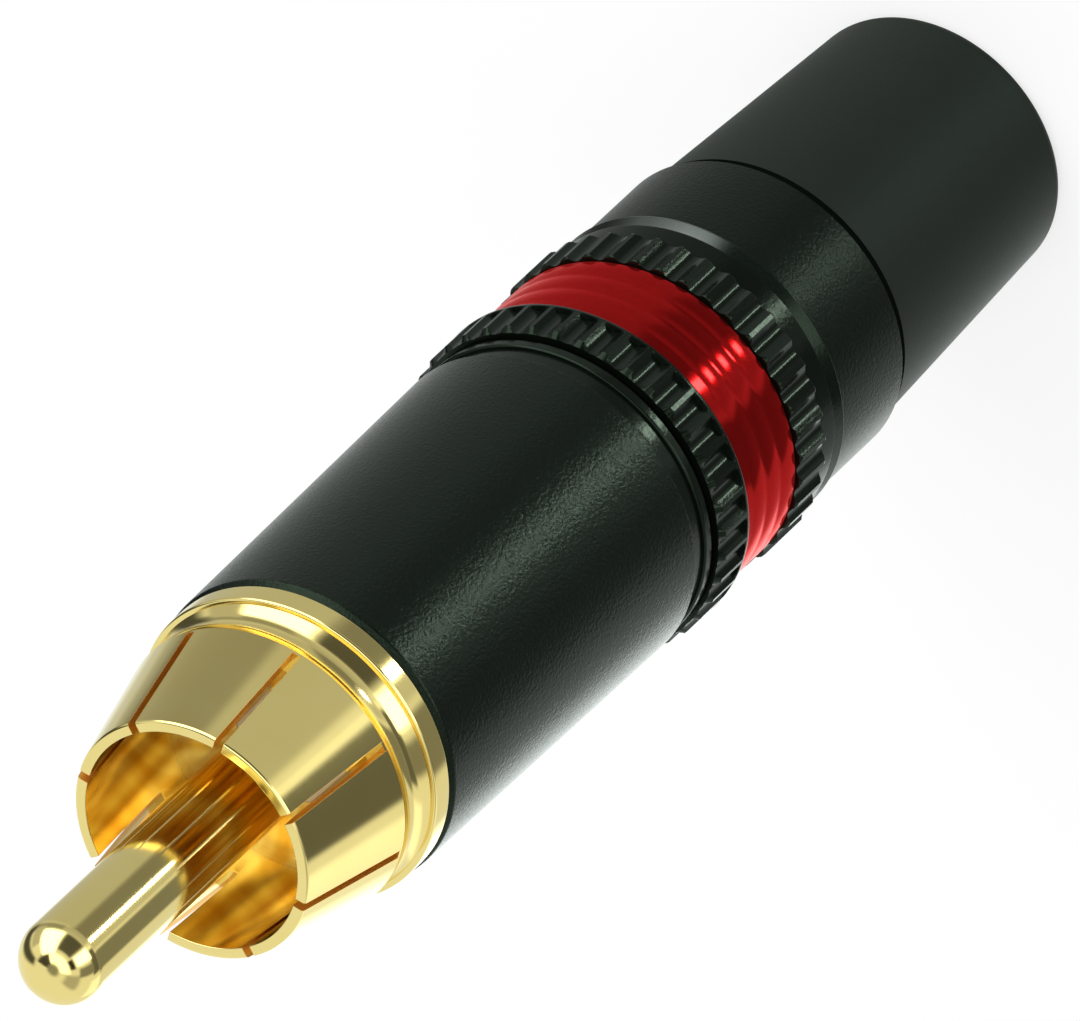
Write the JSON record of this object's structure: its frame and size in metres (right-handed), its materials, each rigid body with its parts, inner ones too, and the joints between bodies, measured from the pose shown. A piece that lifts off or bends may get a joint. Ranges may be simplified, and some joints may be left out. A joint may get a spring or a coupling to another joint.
{
  "type": "rca plug",
  "caption": "Phono cable plug with a domed centre pin, a slotted shield contact, a black turned housing, a red coding ring, a screw-on clamp nut and a tapered boot.",
  "frame": {"origin": "centre of the boot's rear face, on which the plug stands", "axes": "+Z along the plug's axis, from the cable's end to the tip of the centre pin; a petal faces -Y"},
  "size_m": [0.0131, 0.013, 0.0602],
  "materials": {
    "gold_plate": "polished gold plating",
    "ivory_plastic": "natural moulded plastic",
    "black_shell": "satin black coat on turned metal",
    "clear_plastic": "thin tube",
    "red_plastic": "gloss",
    "boot_plastic": "fine matte"
  },
  "bodies": {
    "front_end": {"centre_pin": "gold_plate", "pin_insulator": "ivory_plastic", "outer_contact": "gold_plate", "ground_tag": "gold_plate", "front_housing": "black_shell", "insulating_tube": "clear_plastic"},
    "chuck": {"cable_chuck": "ivory_plastic"},
    "rear_end": {"clamp_nut": "black_shell", "coding_ring": "red_plastic", "boot": "boot_plastic"}
  },
  "joints": [
    {"name": "chuck_slide", "type": "slide", "parent": "front_end", "child": "chuck", "axis": [0, 0, -1], "range_m": [0, 0.0045]},
    {"name": "nut_turn", "type": "hinge", "parent": "chuck", "child": "rear_end", "pos_m": [0, 0, 0.022], "axis": [0, 0, -1], "range_deg": [0, 2160]}
  ],
  "couplings": [
    {"joint": "chuck_slide", "follows": "nut_turn", "m_per_rad": 0.00011937}
  ]
}
